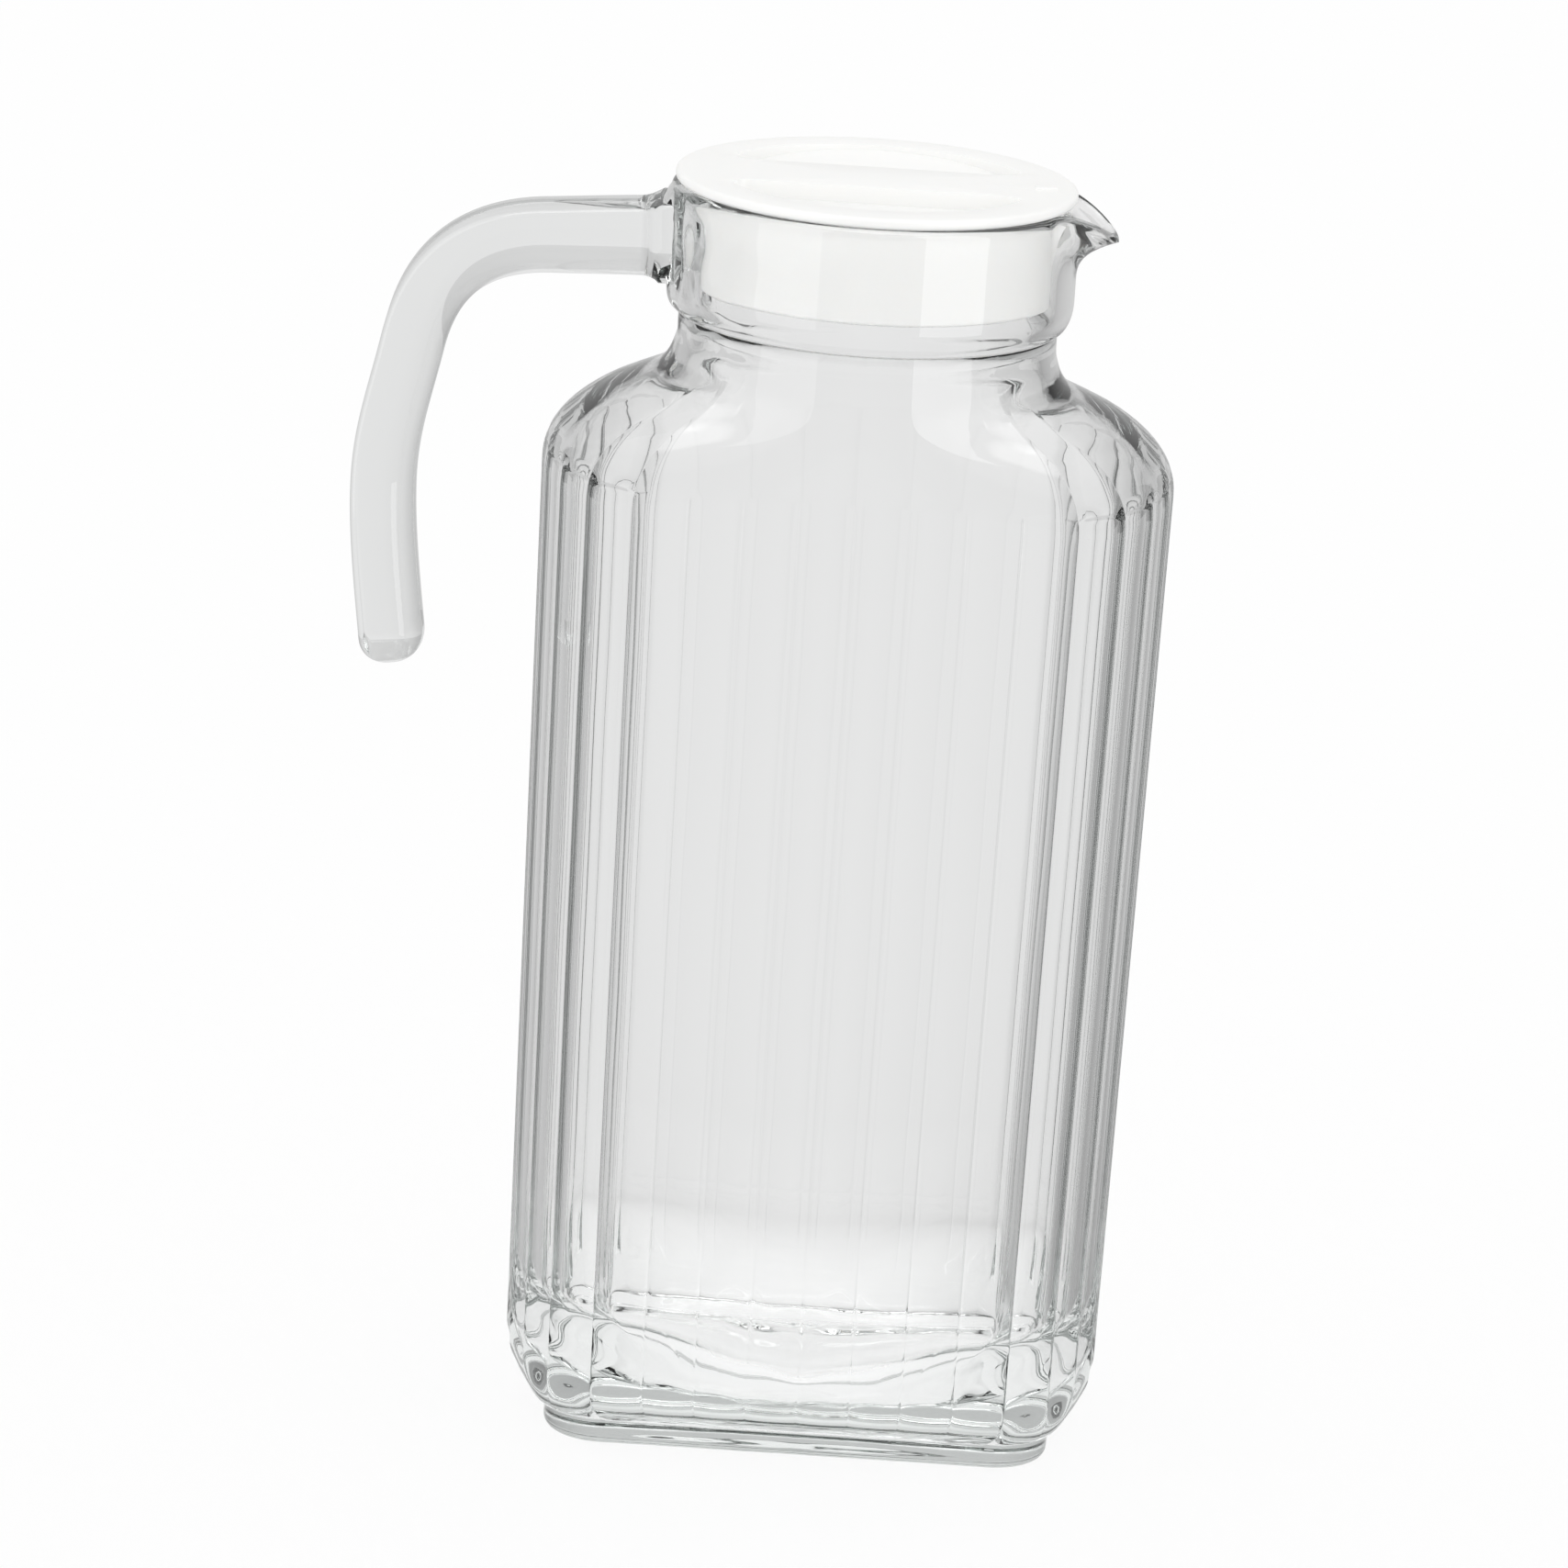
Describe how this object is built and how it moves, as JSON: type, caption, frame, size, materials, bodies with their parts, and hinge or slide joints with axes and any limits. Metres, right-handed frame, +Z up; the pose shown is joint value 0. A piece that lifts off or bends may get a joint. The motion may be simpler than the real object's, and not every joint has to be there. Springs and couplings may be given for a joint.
{
  "type": "glass pitcher with lid",
  "caption": "Fluted glass fridge jug, round with a flat front and back, with a hung side handle, a pulled pouring lip and a white push-in lid that lifts out.",
  "frame": {"origin": "middle of the foot's underside, on the surface that the jug stands on", "axes": "+Z up along the jug's axis; +X towards the pouring lip, with the handle on -X; +Y across"},
  "size_m": [0.1459, 0.0754, 0.2293],
  "materials": {
    "clear_glass": "fire-polished clear soda-lime glass",
    "white_plastic": "satin moulded white polyethylene"
  },
  "bodies": {
    "jug": {"base_foot": "clear_glass", "jug_body": "clear_glass", "neck_collar": "clear_glass", "pour_spout": "clear_glass", "handle": "clear_glass"},
    "lid": {"lid_cap": "white_plastic", "lid_skirt": "white_plastic"}
  },
  "joints": [
    {"name": "lid_lift", "type": "slide", "parent": "jug", "child": "lid", "axis": [0, 0, 1], "range_m": [0, 0.045]}
  ]
}
